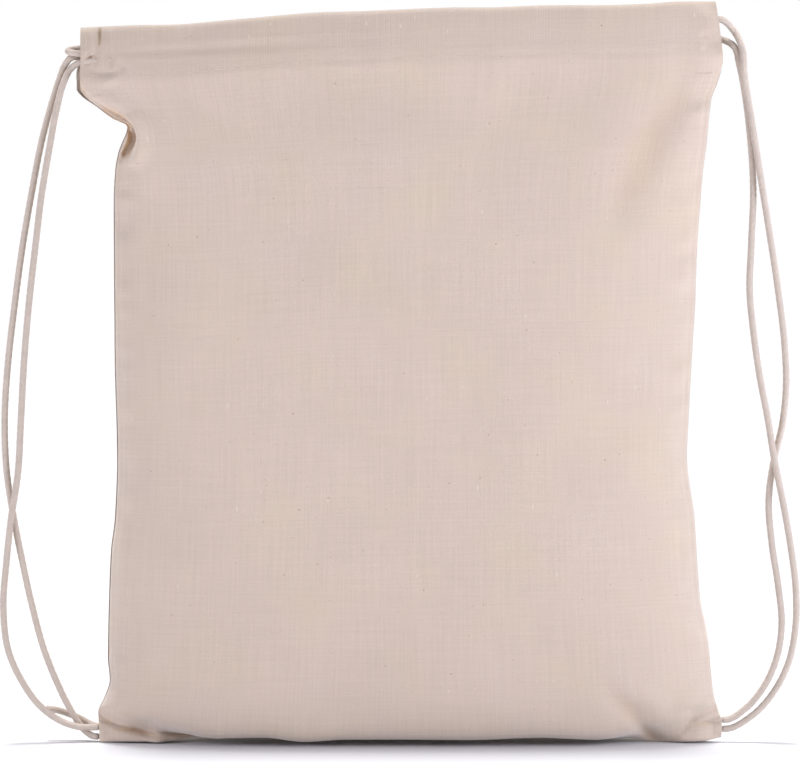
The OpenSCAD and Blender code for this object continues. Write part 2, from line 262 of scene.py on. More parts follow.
def cotton_material(name, base, hem_start=None):
    """Plain-woven unbleached cotton, in the flat cloth's own coordinates, in metres."""
    n = Nodes(name)
    uv = n.node("ShaderNodeUVMap", uv_map="cloth").outputs[0]
    split = n.node("ShaderNodeSeparateXYZ")
    n.link(uv, split.inputs[0])
    x, y = (n.math("MULTIPLY", split.outputs[i], 1000.0) for i in (0, 1))

    def streaks(x_scale, y_scale, detail, roughness=0.5):
        place = n.vector(n.math("MULTIPLY", x, x_scale), n.math("MULTIPLY", y, y_scale))
        return n.noise(place, 1.0, detail, roughness)

    # threads wander a little, each along its own length
    thread, wander = 0.5, 2.6         # distance between threads, in millimetres, and how far they stray
    warp_wander, weft_wander = streaks(1.3, 0.03, 2), streaks(0.03, 1.3, 2)
    across = n.math("ADD", n.math("MULTIPLY", x, math.pi / thread), n.math("MULTIPLY", warp_wander, wander))
    along = n.math("ADD", n.math("MULTIPLY", y, math.pi / thread), n.math("MULTIPLY", weft_wander, wander))
    weave = n.math("MULTIPLY", n.math("SINE", across), n.math("SINE", along))
    # thick and thin yarns: streaks about a thread wide
    warp_slub, weft_slub = streaks(0.9, 0.018, 3, 0.65), streaks(0.02, 0.8, 3, 0.65)
    slub = n.math("ADD", n.math("MULTIPLY", warp_slub, 0.55), n.math("MULTIPLY", weft_slub, 0.45))
    mottle = n.noise(uv, 14.0, 3, 0.55)
    fuzz = n.noise(uv, 900.0, 2, 0.6)
    shade = n.math("ADD", n.remap(slub, 0.3, 0.7, 0.925, 1.075), n.remap(mottle, 0.3, 0.7, -0.02, 0.02))
    shade = n.math("ADD", shade, n.remap(fuzz, 0.3, 0.7, -0.035, 0.035))
    shade = n.math("ADD", shade, n.math("MULTIPLY", weave, 0.025))
    if hem_start is not None:
        # the hem shows its warp as fine ribs; its colour is also painted darker as shade, more at the left
        # than at the right, in place of the light that shines through single cloth but not through the
        # doubled hem
        hem = n.remap(y, hem_start - 2.5, hem_start + 2.5, 0.0, 1.0)
        rib_pitch = 1.35
        stray = n.math("MULTIPLY", warp_wander, 3.0)
        rib = n.math("SINE", n.math("MULTIPLY_ADD", x, 2 * math.pi / rib_pitch, stray))
        strength = n.remap(n.noise(uv, 45.0, 2), 0.35, 0.65, 0.0, 0.035)
        ribs = n.math("MULTIPLY", n.math("MULTIPLY", rib, strength), hem)
        painted_hem_shade = n.math("MULTIPLY", hem, n.remap(x, -190.0, 190.0, -0.13, -0.065))
        shade = n.math("ADD", n.math("MULTIPLY", shade, n.math("ADD", painted_hem_shade, 1.0)), ribs)
    colour = n.mix(1.0, (*base, 1.0), n.vector(shade, shade, shade), "MULTIPLY")
    warm = n.remap(n.noise(uv, 22.0, 2), 0.35, 0.65, 0.0, 1.0)
    colour = n.mix(warm, n.mix(1.0, colour, (0.998, 0.994, 1.018, 1.0), "MULTIPLY"),
                   n.mix(1.0, colour, (1.002, 0.999, 0.965, 1.0), "MULTIPLY"))
    # painted shade: deep creases are painted warmer and darker, standing in for the light bounced to and
    # fro inside them
    painted_fold_shade = n.node("ShaderNodeAttribute", attribute_name="painted_fold_shade").outputs["Fac"]
    colour = n.mix(painted_fold_shade, colour, n.mix(1.0, colour, (1.0, 0.85, 0.64, 1.0), "MULTIPLY"))
    # seed flecks and slubs: cells of their own, some empty, each with a ragged dot
    for cell, share, size, stretch, strength, tint in (
        (19.0, 0.3, 0.5, 1.0, 0.52, (0.24, 0.135, 0.075, 1.0)),
        (9.0, 0.45, 0.42, 0.7, 0.3, (0.28, 0.175, 0.11, 1.0)),
        (16.0, 0.35, 0.34, 3.5, 0.35, (0.86, 0.78, 0.70, 1.0)),
    ):
        turned = 0.35 if stretch < 2 else 0.0
        place = n.vector(n.math("MULTIPLY_ADD", y, turned / cell, n.math("DIVIDE", x, cell)),
                         n.math("MULTIPLY_ADD", x, -turned / cell, n.math("DIVIDE", y, cell * stretch)))
        cells = n.node("ShaderNodeTexVoronoi", voronoi_dimensions="2D")
        n.link(place, cells.inputs["Vector"])
        cells.inputs["Scale"].default_value = 1.0
        cell_random = n.node("ShaderNodeSeparateColor")
        n.link(cells.outputs["Color"], cell_random.inputs[0])
        reach = n.remap(cell_random.outputs[0], 0.0, 1.0, 0.4 * size / cell, 1.25 * size / cell)
        edge = n.remap(fuzz, 0.3, 0.7, -0.1 / cell, 0.1 / cell)
        ragged = n.math("ADD", cells.outputs["Distance"], edge)
        inside = n.math("MULTIPLY", n.math("LESS_THAN", ragged, reach),
                        n.math("LESS_THAN", cell_random.outputs[1], share))
        depth = n.remap(cell_random.outputs[2], 0.0, 1.0, 0.4 * strength, strength)
        depth = n.math("MULTIPLY", inside, depth)
        colour = n.mix(depth, colour, tint)
    n.link(colour, n.bsdf.inputs["Base Color"])
    n.put(n.bsdf.inputs["Roughness"], n.remap(fuzz, 0.3, 0.7, 0.86, 0.96))
    n.bsdf.inputs["Specular IOR Level"].default_value = 0.2
    n.bsdf.inputs["Sheen Weight"].default_value = 0.6
    n.bsdf.inputs["Sheen Roughness"].default_value = 0.5
    height = n.math("ADD", n.math("MULTIPLY", weave, 0.5), n.math("MULTIPLY", slub, 1.2))
    height = n.math("ADD", height, n.math("MULTIPLY", fuzz, 0.8))
    bump = n.node("ShaderNodeBump")
    bump.inputs["Strength"].default_value = 0.35
    bump.inputs["Distance"].default_value = 0.00015
    n.link(height, bump.inputs["Height"])
    n.link(bump.outputs[0], n.bsdf.inputs["Normal"])
    return n.material


def yarn_material(name, base, scale=1.0):
    """Matt cotton yarn with fine fibres, for cords and sewing thread."""
    n = Nodes(name)
    place = n.node("ShaderNodeTexCoord").outputs["Object"]
    fibres = n.noise(place, 1500.0 * scale, 3, 0.6)
    patches = n.noise(place, 160.0 * scale, 3, 0.6)
    shade = n.math("ADD", n.remap(fibres, 0.3, 0.7, 0.93, 1.07), n.remap(patches, 0.3, 0.7, -0.05, 0.05))
    colour = n.mix(1.0, (*base, 1.0), n.vector(shade, shade, shade), "MULTIPLY")
    n.link(colour, n.bsdf.inputs["Base Color"])
    n.put(n.bsdf.inputs["Roughness"], n.remap(fibres, 0.3, 0.7, 0.85, 0.97))
    n.bsdf.inputs["Specular IOR Level"].default_value = 0.2
    n.bsdf.inputs["Sheen Weight"].default_value = 0.15
    bump = n.node("ShaderNodeBump")
    bump.inputs["Strength"].default_value = 0.5
    bump.inputs["Distance"].default_value = 0.00012
    n.link(fibres, bump.inputs["Height"])
    n.link(bump.outputs[0], n.bsdf.inputs["Normal"])
    return n.material


# ---------------------------------------------------------------- cords
def hem_top(x):
    """Height of the hem's folded edge at x, in metres."""
    return BAG_H - HEM_DROP * ((HALF_W - x) / (2 * HALF_W)) ** 2


def hem_mid(x):
    return hem_top(x) - HEM_H / 2


def hem_low(x):
    """Height of the casing's lower edge at x, both in millimetres."""
    return hem_mid(x * MM) / MM - HEM_H / MM / 2


def casing_y(x):
    """Distance of a casing's middle from the plane between the panels."""
    return CASING_MID_END + MOUTH_BOW * np.cos(np.clip(x / HALF_W, -1, 1) * math.pi / 2)


def swept_rings(path, radius, sides):
    """Rings of points round a path, without twist, as an array (ring, side, xyz)."""
    tangent = np.gradient(path, axis=0)
    tangent /= np.linalg.norm(tangent, axis=1)[:, None]
    side = np.cross(tangent[0], (0.0, 1.0, 0.1))
    side /= np.linalg.norm(side)
    sides_out = []
    for t in tangent:
        side = side - t * (side @ t)
        side /= np.linalg.norm(side)
        sides_out.append(side)
    u = np.array(sides_out)
    v = np.cross(tangent, u)
    angle = np.linspace(0, 2 * math.pi, sides, endpoint=False)
    ring = np.cos(angle)[None, :, None] * u[:, None] + np.sin(angle)[None, :, None] * v[:, None]
    return path[:, None] + ring * radius[..., None]


def tube_parts(path, radius, sides):
    """Vertices and faces of a closed tube; radius is one number per ring and side."""
    rings = swept_rings(path, radius, sides)
    n = len(path)
    verts = np.vstack([rings.reshape(-1, 3), path[:1], path[-1:]])
    i, k = np.meshgrid(np.arange(n - 1), np.arange(sides), indexing="ij")
    a, b = (i * sides + k).ravel(), (i * sides + (k + 1) % sides).ravel()
    faces = np.stack([a, b, b + sides, a + sides], axis=1).tolist()
    last = (n - 1) * sides
    for k in range(sides):
        faces.append((n * sides, (k + 1) % sides, k))
        faces.append((n * sides + 1, last + k, last + (k + 1) % sides))
    return verts, faces


def joined(parts):
    """One list of vertices and one of faces from several (vertices, faces) pairs."""
    verts, faces, start = [], [], 0
    for v, f in parts:
        verts.append(v)
        faces += [[start + i for i in face] for face in f]
        start += len(v)
    return np.vstack(verts), faces


def braid_parts(route, step=0.7):
    """A round braided cord along a route in millimetres: vertices, faces and centreline."""
    sides, carriers, lay = 24, 4, math.tan(math.radians(36))
    path = spline(route, step) * MM
    along = np.concatenate([[0], np.cumsum(np.linalg.norm(np.diff(path, axis=0), axis=1))])
    angle = np.linspace(0, 2 * math.pi, sides, endpoint=False)[None, :]
    r = CORD_D / 2
    turn = carriers * lay * along[:, None] / r
    over = np.maximum(np.cos(carriers * angle + turn), np.cos(carriers * angle - turn))
    radius = r * (0.955 + 0.05 * over)
    ends = np.clip(np.minimum(along, along[-1] - along) / (0.8 * MM), 0, 1)
    radius = radius * (0.55 + 0.45 * np.sqrt(ends))[:, None]
    return (*tube_parts(path, radius, sides), path)


def braided_piece(name, routes, material, nodes):
    """One piece of braided cord, or of several short ends, that stands for CAD nodes."""
    parts = [braid_parts(route) for route in routes]
    verts, faces = joined([p[:2] for p in parts])
    obj = link_mesh(name, verts, faces, material)
    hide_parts(*nodes)
    return obj, verts, parts[0][2]


def casing_point(x, toward, offsets):
    """A point of a cord inside a casing, in millimetres."""
    share = (x * MM + HALF_W) / (2 * HALF_W)
    height = offsets[0] + (offsets[1] - offsets[0]) * share
    return (x, toward * casing_y(x * MM) / MM, hem_mid(x * MM) / MM + height)


def make_run(name, toward, offsets, x_low, x_high, material, node):
    route = [casing_point(x, toward, offsets) for x in np.linspace(x_low, x_high, 13)]
    run, verts, _ = braided_piece(name, [route], material, [node])
    set_blend(run)


def make_turn(name, x, front_z, back_z, bulge, material, node):
    """A cord's turn from the front casing to the back casing, round the end of the mouth."""
    out = 1 if x > 0 else -1
    r = casing_y(x * MM) / MM
    route = [(x - out * 4, -r, front_z)]
    for degrees in (-90, -60, -30, 0, 30, 60, 90):
        a = math.radians(degrees)
        share = 0.5 + degrees / 180
        route.append((x + out * (bulge + r) * math.cos(a) ** 0.8, r * math.sin(a),
                      front_z + (back_z - front_z) * share))
    route.append((x - out * 4, r, back_z))
    turn = braided_piece(name, [route], material, [node])[0]
    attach(turn, "bag")


def make_strand(side, layer, toward, offsets, route, material):
    """A strand that hangs from its casing to the bottom corner."""
    out = -1 if side == "left" else 1
    lead = [casing_point(out * x, toward, offsets) for x in (184, 187)]
    end = route[-1]
    node = f"{side}_cord_{layer}_strand"
    full = lead + route + [(end[0] - out * 2.5, end[1], end[2])]
    strand, verts, path = braided_piece(f"{node}_braid", [full], material, [node])
    set_blend(strand)


def make_cords(material):
    """Two cords. Each is threaded through both casings and sewn into one bottom corner."""
    for side, layer, toward, offsets, x_low, x_high in (
        ("left", "front", -1, LEFT_FRONT_OFFSETS, -185.5, 184.5),
        ("left", "back", 1, LEFT_BACK_OFFSETS, -185.5, 184.5),
        ("right", "front", -1, RIGHT_FRONT_OFFSETS, -190, 185.5),
        ("right", "back", 1, RIGHT_BACK_OFFSETS, -190, 185.5),
    ):
        node = f"{side}_cord_{layer}_run"
        make_run(f"{node}_braid", toward, offsets, x_low, x_high, material, node)
    make_turn("left_cord_turn_braid", 182.4, 412.1, 412.1, 0, material, "left_cord_turn")
    make_turn("right_cord_turn_braid", -190.4, 408.8, 411.8, 3, material, "right_cord_turn")
    sewn = {}
    for side, tip, heights in (("left", -180.8, (3, 8.5)), ("right", 191, (7.5, 13))):
        inward = -math.copysign(1, tip)
        routes = [[(tip + inward * k, 0, z) for k in (0, 5, 10, 15)] for z in heights]
        node = f"{side}_cord_sewn_ends"
        sewn[side] = braided_piece(f"{node}_braid", routes, material, [node])[0]
        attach(sewn[side], "bag")
    make_strand("left", "front", -1, LEFT_FRONT_OFFSETS, LEFT_FRONT_ROUTE, material)
    make_strand("left", "back", 1, LEFT_BACK_OFFSETS, LEFT_BACK_ROUTE, material)
    make_strand("right", "front", -1, RIGHT_FRONT_OFFSETS, RIGHT_FRONT_ROUTE, material)
    make_strand("right", "back", 1, RIGHT_BACK_OFFSETS, RIGHT_BACK_ROUTE, material)
    tail_route = [(-179, 2.4, 8.5)] + LEFT_TAIL_ROUTE
    tail, verts, path = braided_piece("left_cord_tail_braid", [tail_route], material,
                                      ["left_cord_tail"])
    set_blend(tail)


# ---------------------------------------------------------------- cloth shape
# Outer edge of the bag at its left side against height, in millimetres.
LEFT_EDGE = [
    (0, 180), (18, 180.5), (26, 177), (37, 173.5), (50, 174.5), (75, 174), (113, 172.5),
    (134, 170), (170, 168.6), (233, 169.8), (319, 170), (340, 169), (350, 167.2), (357, 164.6),
    (362, 162.4), (365.5, 161.6), (367.6, 163), (369.3, 168), (372.5, 173), (376.5, 178), (384, 187.6),
    (388, 189.9), (396, 190), (405, 189.4), (430, 189.4),
]
# How much further out the back cloth reaches than the front, seen as a dark sliver.
BACK_OVERHANG = [
    (0, 0.3), (60, 0.7), (360, 0.7), (378, 1.2), (388, 2.6), (398, 2.4), (406, 0.7), (440, 0.5),
]
# The same edge at its right side.
RIGHT_EDGE = [
    (0, 190), (10, 190.5), (20, 188), (28, 185.8), (42, 184), (56, 182.8), (70, 180.6),
    (84, 177.6), (106, 175.7), (134, 173.9), (170, 169.2), (198, 170.3), (233, 172.1),
    (262, 173.7), (291, 174.6), (319, 176.4), (340, 178), (355, 180), (369, 181.2),
    (383, 182.8), (390, 185.4), (398, 188), (405, 189.2), (412, 188.6), (424, 187), (440, 184.6),
]
# Smooth half width of the body against height, on which the edges above ride.
BODY_WIDTH = [(0, 184), (60, 176), (170, 170), (320, 172), (375, 184), (400, 190), (440, 190)]
# Upright profile of a panel at its middle: (share of the depth, height), from the bottom seam.
PROFILE = [
    (0.0, 0.0), (0.25, 0.05), (0.48, 0.3), (0.64, 1.3), (0.74, 3.2), (0.81, 6.2), (0.865, 10.5),
    (0.915, 17.5), (0.957, 27), (0.985, 42), (1.0, 70), (1.0, 110), (0.985, 150), (0.93, 200),
    (0.84, 250), (0.7, 300), (0.53, 350), (0.43, 380), (0.365, 409),
]
BODY_DEPTH = MAX_DEPTH - 2 * MM
# Section of a hem's casing: (out from its middle, up from its row of stitches).
HEM_SECTION = [
    (2.3, 0), (2.6, 5), (2.85, 12), (2.8, 20), (2.4, 26), (1.6, 29.6), (0, 31), (-1.6, 29.8),
    (-2.4, 26), (-2.7, 18), (-2.6, 8), (-2.3, 3), (-1.2, 0.8), (0.8, 0.3), (1.8, 0.6),
]
# Heights against x: of the flat corner tabs, and of the waves of the bottom and top edges.
TABS = [
    (-192, 15.5), (-186, 12.8), (-178, 9.6), (-166, 6.6), (-153, 4.8), (-143, 2.8), (-125, 0.8),
    (-110, 0), (150, 0), (164, 1), (171, 4), (176, 9.5), (182, 12), (192, 14.5),
]
BOTTOM_WAVE = [
    (-190, 0), (-150, 0.5), (-130, 2.8), (-85, 4.4), (-60, 1.9), (-35, 3.2), (0, 3.3), (40, 3),
    (85, 4.4), (110, 3.2), (138, 2.2), (156, 0.2), (172, 0), (182, 1.6), (190, 4),
]
TOP_WAVE = [
    (-190, -0.5), (-158, -1.5), (-130, -3), (-105, -2.5), (-78, -1.7), (-50, -0.9), (-20, -1.5),
    (28, -1.4), (55, -2.1), (82, -1.7), (120, -2.2), (145, -1.7), (165, -0.5), (190, -0.5),
]


def upright_profile():
    """Points of a panel's middle line every half millimetre, and the length of cloth to each."""
    profile = spline([(d * BODY_DEPTH / MM, z) for d, z in PROFILE], 0.5)
    return profile, np.concatenate([[0], np.cumsum(np.hypot(*np.diff(profile, axis=0).T))])


def soft_max(a, b, softness):
    """The larger of a and b, with a rounded change from one to the other."""
    return (a + b + np.sqrt((a - b) ** 2 + softness ** 2)) / 2


def crown(u):
    """Share of a panel's depth across its width: u is -1 at the left seam and 1 at the right."""
    return np.clip(1 - np.abs(u) ** 4, 0, 1) ** 0.6


def marks_along(length, coarse, fine_zones):
    """Distances from 0 to length, coarse apart but finer inside zones (low, high, spacing)."""
    marks = [0.0]
    while marks[-1] < length:
        spacing = coarse
        for low, high, fine in fine_zones:
            outside = max(low - marks[-1], marks[-1] - high, 0)
            spacing = min(spacing, fine + outside * 0.12)
        marks.append(marks[-1] + spacing)
    return np.array(marks) * length / marks[-1]


def cloth_columns():
    """Values of u from side to side, and the cloth's own coordinate there, in millimetres."""
    u = np.sin(np.linspace(-math.pi / 2, math.pi / 2, 4001))
    x, y = u * 0.9 * HALF_W / MM, crown(u) * BODY_DEPTH / MM
    length = np.concatenate([[0], np.cumsum(np.hypot(np.diff(x), np.diff(y)))])
    marks = marks_along(length[-1], 2.3, [(0, 30, 1.0), (length[-1] - 16, length[-1], 1.3)])
    return np.interp(marks, length, u), marks - length[-1] / 2


def crease_field(x, z, points, depth, width):
    """Depth of a groove, or height of a ridge, along a line of points, all in millimetres."""
    p = spline(points, 3.0)
    best = np.full(x.shape, 1e9)
    share = np.zeros(x.shape)
    for i, (a, b) in enumerate(zip(p[:-1], p[1:])):
        d = b - a
        t = np.clip(((x - a[0]) * d[0] + (z - a[1]) * d[1]) / (d @ d), 0, 1)
        gap = np.hypot(x - a[0] - t * d[0], z - a[1] - t * d[1])
        closer = gap < best
        best = np.where(closer, gap, best)
        share = np.where(closer, (i + t) / (len(p) - 1), share)
    ends = np.sin(np.clip(share, 0.02, 0.98) * math.pi) ** 0.7
    return depth * np.exp(-(best / width) ** 2) * ends


def undulation(x, z, seed, shortest=45, longest=170, count=26):
    """Soft random waves of the cloth, about 1 high, with x and z in millimetres."""
    rng = np.random.default_rng(seed)
    total = np.zeros(x.shape)
    for _ in range(count):
        length = rng.uniform(shortest, longest)
        heading = rng.uniform(0, math.pi)
        phase = rng.uniform(0, 2 * math.pi)
        wave = np.cos((x * math.cos(heading) + z * math.sin(heading)) * 2 * math.pi / length + phase)
        total += wave * length / (shortest + longest) * 2
    return total / math.sqrt(count / 2)


# Line of the rolled lip that hangs over the deep fold below the hem's left end.
PINCH_LIP = [(-168, 378), (-160, 372.5), (-154, 366), (-152, 359), (-154.5, 351), (-160, 343)]
# Creases of the front: (points, depth, width). A negative depth is a groove.
FRONT_CREASES = [
    # the deep rolled fold below the hem's left end, with the puffs beside it
    ([(-177, 377.5), (-170, 372.3), (-163.5, 368.6), (-158.8, 364), (-158, 358.5), (-160.5, 353),
      (-165.5, 347)], -16, 2.2),
    ([(-160, 374), (-153.5, 366), (-151.5, 358), (-154, 350), (-160, 341)], 5.5, 4.2),
    ([(-187, 388), (-172, 381), (-158, 374)], 2.5, 5),
    # the scrunched left end of the hem
    ([(-191, 405), (-191.5, 396), (-189.5, 388), (-183, 382)], -4, 1.4),
    ([(-177.5, 430), (-178, 420), (-178.5, 410)], -3, 1.5),
    ([(-183, 428), (-182.5, 412)], 1.2, 1.8),
    ([(-172, 424), (-171, 408)], 0.9, 2.4),
    ([(-180.5, 411.5), (-183.5, 407), (-187.5, 402)], -3.2, 1.4),
    ([(-179.5, 410), (-181, 402)], -1.8, 1.2),
    ([(-174, 413), (-172, 405), (-173, 397)], -1.5, 1.6),
    ([(-184, 410), (-150, 410.5), (-110, 412), (-50, 415)], -1.0, 3.6),
    ([(-184, 398.5), (-173, 397), (-164, 399.5)], -1.8, 1.5),
    ([(-186, 392), (-176, 391), (-168, 395)], 1.2, 3),
    ([(-168, 406), (-163, 398)], -1.0, 1.6),
    # the mark of the sewing at the hem's right end
    ([(174.5, 419.4), (185, 419.8)], -1.1, 1.1),
    ([(172, 412.2), (180, 412.4), (191, 412.4)], 1.0, 2.6),
    ([(171, 416), (171.5, 411.5), (175, 410.3), (179.5, 411.5), (180, 416)], -0.5, 1.0),
    # pressed creases from folding
    ([(6.5, 12), (6.5, 200), (6.5, 402)], 0.35, 1.3),
    ([(-43, 331), (17, 330)], -0.3, 1.5),
    ([(28, 277), (70, 276)], -0.3, 1.5),
    ([(28, 252), (117, 251)], -0.35, 1.5),
    ([(-25, 212), (46, 211)], -0.3, 1.5),
    # soft folds of the filled bag
    ([(177, 402), (141, 351), (120, 298)], -2.5, 12),
    ([(176, 385), (158, 330)], 1.5, 12),
    ([(-150, 375), (-148, 350), (-156, 325)], 2.5, 12),
    ([(-140, 395), (-110, 372), (-70, 350)], -0.9, 8),
    ([(-168, 345), (-150, 300), (-146, 240)], -1.0, 9),
    ([(116, 40), (130, 25), (143, 12), (150, 3)], -2.2, 5.5),
    ([(138, 14), (144, 8), (151, 2), (154, -2)], -3.6, 3.4),
    ([(156, 2), (170, 0), (192, 3)], 2.6, 6),
    ([(136, 38), (150, 24), (163, 8)], 1.6, 7),
    ([(182, 46), (168, 34), (154, 20)], -0.6, 3),
    ([(187, 33), (176, 24), (166, 14)], -0.5, 2.4),
    ([(171, 10.6), (182, 12.2), (193, 13.6)], -2.8, 1.1),
    ([(167, 14.2), (180, 15.8), (194, 17.6)], 1.5, 2.6),
    ([(-178, 61), (-175, 54), (-177, 46)], -2.5, 2),
    ([(-182, 16.5), (-177, 13), (-170, 9.6), (-160, 7.4), (-150, 5.2), (-140, 3)], -5, 1.4),
    ([(-178, 25), (-166, 17), (-150, 13)], 1.5, 5),
    ([(-192, 2), (-172, 0.5), (-150, 0), (-138, 0)], 2.4, 5),
    ([(-152, 0), (-146, 0.5), (-139, 1)], 5, 7.5),
    ([(-161, 8.4), (-154, 6.2), (-147, 4)], -3, 1.7),
    ([(-143, 6.2), (-134, 4.9), (-123, 4.2)], -4, 1.5),
]
BACK_CREASES = [
    ([(-172, 372), (-160, 366), (-150, 352)], -5, 4),
    ([(150, 396), (120, 350), (112, 300)], -2, 12),
    ([(-6.5, 12), (-6.5, 200), (-6.5, 402)], 0.35, 1.3),
    ([(-60, 300), (40, 301)], -0.3, 1.5),
    ([(-30, 180), (70, 181)], -0.3, 1.5),
    ([(-110, 25), (-135, 12)], -2, 5),
    ([(150, 40), (120, 20)], -2, 6),
    ([(-150, 60), (-120, 110), (-110, 160)], -1.2, 10),
    ([(176, 395), (168, 380), (150, 372)], -1.6, 4),
    ([(-177, 425), (-176, 408)], -1.8, 1.8),
    ([(172, 436), (173, 418)], -1.2, 1.8),
]


def side_edge(u, z, toward):
    """Distance of a cloth's outer edge from the middle, on the side given by the sign of u."""
    edge = np.where(u < 0, curve_value(LEFT_EDGE, z), curve_value(RIGHT_EDGE, z))
    return edge + (curve_value(BACK_OVERHANG, z) * np.where(u < 0, 1, 0.15) if toward > 0 else 0)


def panel_points(u, along, toward):
    """Points of a panel below its hem, in millimetres; along is the cloth from the seam up."""
    profile, arc = upright_profile()
    u, along = np.meshgrid(u, along)
    x_line = u * HALF_W / MM
    tab = curve_value(TABS, x_line)
    low = 60.0                    # length of cloth from the seam over which the tab has its say
    past = np.where(along < low, np.clip(along - tab, 0, None) * low / (low - tab), along)
    depth = np.interp(past, arc, profile[:, 0])
    height = np.interp(past, arc, profile[:, 1])
    # near the corners the cloth leans out gently instead of bellying over
    lean = 0.6 * np.maximum(smoothstep(-112, -170, x_line), smoothstep(118, 172, x_line))
    gentle = BODY_DEPTH / MM * np.sin(np.clip(past / 95, 0, 1) * math.pi / 2) ** 0.8
    low_down = smoothstep(95, 70, past)
    depth = depth + (gentle - depth) * lean * low_down
    height = height + (past * 0.97 - height) * lean * smoothstep(60, 20, past)
    top = hem_low(x_line) + curve_value(TOP_WAVE, x_line)
    share = height / PROFILE[-1][1]
    z = share * top + tab * (1 - smoothstep(0, 0.8 * low, past))
    z = np.where(along < tab, along, z) + curve_value(BOTTOM_WAVE, x_line) * (1 - smoothstep(0, 35, z))
    base = curve_value(BODY_WIDTH, z)
    edge = side_edge(u, z, toward)
    x = u * base + np.sign(u) * (edge - base) * np.abs(u) ** 9
    from_edge = edge - np.abs(x)
    flat_tab = 0.1 + smoothstep(0, 1.6, z) * (1.1 * smoothstep(0, 4, from_edge)
                                              + 4.5 * smoothstep(2, 16, from_edge))
    flat_tab = flat_tab * (1 - smoothstep(0, 16, past)) * smoothstep(0, 3, tab)
    cord_z = np.where(u < 0, 5.8, 10.2)
    pocket = 2.2 * smoothstep(7.5, 4.5, np.abs(z - cord_z)) * smoothstep(20, 12, from_edge)
    belly = depth * crown(u)
    y = np.where(z < 40, soft_max(belly, flat_tab, 2.5 * smoothstep(0, 8, from_edge)), belly)
    y = np.maximum(y, np.maximum(pocket, 0.1))
    row_y = casing_y(x_line * MM) / MM + HEM_SECTION[0][0]
    by_edge = smoothstep(0.972, 1, share)
    by_middle = smoothstep(0.86, 1, share)
    to_hem = by_edge + (by_middle - by_edge) * np.clip(crown(u) * 1.8, 0, 1)
    return x, y * (1 - to_hem) + row_y * to_hem, z


def hem_points(u, section, drop, toward):
    """Points of a hem's folded casing, in millimetres."""
    u, out = np.meshgrid(u, section[:, 0])
    up = np.meshgrid(u[0], section[:, 1])[1]
    x_line = u * HALF_W / MM
    z = hem_low(x_line) + up * (1 - drop / (HEM_H / MM)) + curve_value(TOP_WAVE, x_line)
    x = x_line + np.sign(u) * (side_edge(u, z, toward) - HALF_W / MM) * np.abs(u) ** 9
    return x, casing_y(x_line * MM) / MM + out, z


def cloth_surface(toward, creases, seed, drop):
    """Points of a panel with its hem as an array (row, column, xyz), the cloth's own lengths, and the
    strength of the painted shade in its deep creases.
    """
    u, own_x = cloth_columns()
    panel_length = float(upright_profile()[1][-1])
    fine = [(0, 34, 1.1), (panel_length - 75, panel_length - 30, 1.1), (panel_length - 2, 999, 1.4)]
    along = marks_along(panel_length, 2.3, fine)
    section = spline(HEM_SECTION, 1.5)[1:]
    hem_length = np.cumsum(np.hypot(*np.diff(np.vstack([HEM_SECTION[:1], section]), axis=0).T))
    panel, hem = panel_points(u, along, toward), hem_points(u, section, drop, toward)
    x, y, z = (np.vstack(pair) for pair in zip(panel, hem))
    outer = np.concatenate([np.ones(len(along)), smoothstep(38, 30, hem_length)])[:, None]
    # soft waves on the body, puckers beside the side seams and ripples in the hem
    calm = smoothstep(0, 30, z) * (1 - 0.7 * smoothstep(330, 410, z)) * crown(x * MM / HALF_W)
    bulge = 0.8 * undulation(x, z, seed) * calm
    from_edge = side_edge(x, z, toward) - np.abs(x)
    puckers = undulation(x * 0.25 + seed, z, seed + 1, 9, 26)
    bulge += 0.55 * puckers * np.exp(-((from_edge - 5) / 6) ** 2) * smoothstep(20, 40, z)
    ripples = undulation(x, z * 0.3, seed + 2, 12, 40)
    bulge += 0.16 * ripples * smoothstep(370, 400, z)
    # strength of the painted shade in deep grooves, which the material turns into a warmer, darker colour
    painted_crease_shade = np.zeros(x.shape)
    for points, depth, width in creases:
        field = crease_field(x, z, points, depth, width)
        bulge += field
        if depth < -2:
            around = crease_field(x, z, points, -depth, width * 1.5)
            painted_crease_shade = np.maximum(painted_crease_shade, np.clip((around - 1.2) / 5, 0, 1) * outer)
    # the row of stitches pulls the cloth in a little
    row = hem_low(x) + ROW_RISE + curve_value(TOP_WAVE, x)
    bulge -= 0.28 * np.exp(-((z - row) / 1.1) ** 2)
    # the cords inside the casing show through as faint ridges
    if toward < 0:
        cords = (LEFT_FRONT_OFFSETS, RIGHT_FRONT_OFFSETS)
    else:
        cords = (LEFT_BACK_OFFSETS, RIGHT_BACK_OFFSETS)
    for left, right in cords:
        line = hem_mid(x * MM) / MM + left + (right - left) * (x * MM + HALF_W) / (2 * HALF_W)
        bulge += (0.16 + 0.3 * smoothstep(0, -150, x)) * np.exp(-((z - line) / 2.6) ** 2)
    if toward < 0:
        x = x + crease_field(x, z, PINCH_LIP, -3.2, 3.4)
    # a side seam has a raised edge and a shallow valley beside it
    seamed = smoothstep(20, 40, z) * smoothstep(405, 380, z)
    bulge += 0.3 * np.exp(-(from_edge / 1.2) ** 2) * seamed
    bulge -= 0.55 * np.exp(-((from_edge - 3.2) / 1.1) ** 2) * seamed
    y = np.maximum(y + bulge * outer, CLEAR)
    points = np.stack([x, toward * y, z], axis=-1) * MM
    own_y = np.concatenate([along, panel_length + hem_length])
    return points, own_x * MM, own_y * MM, painted_crease_shade


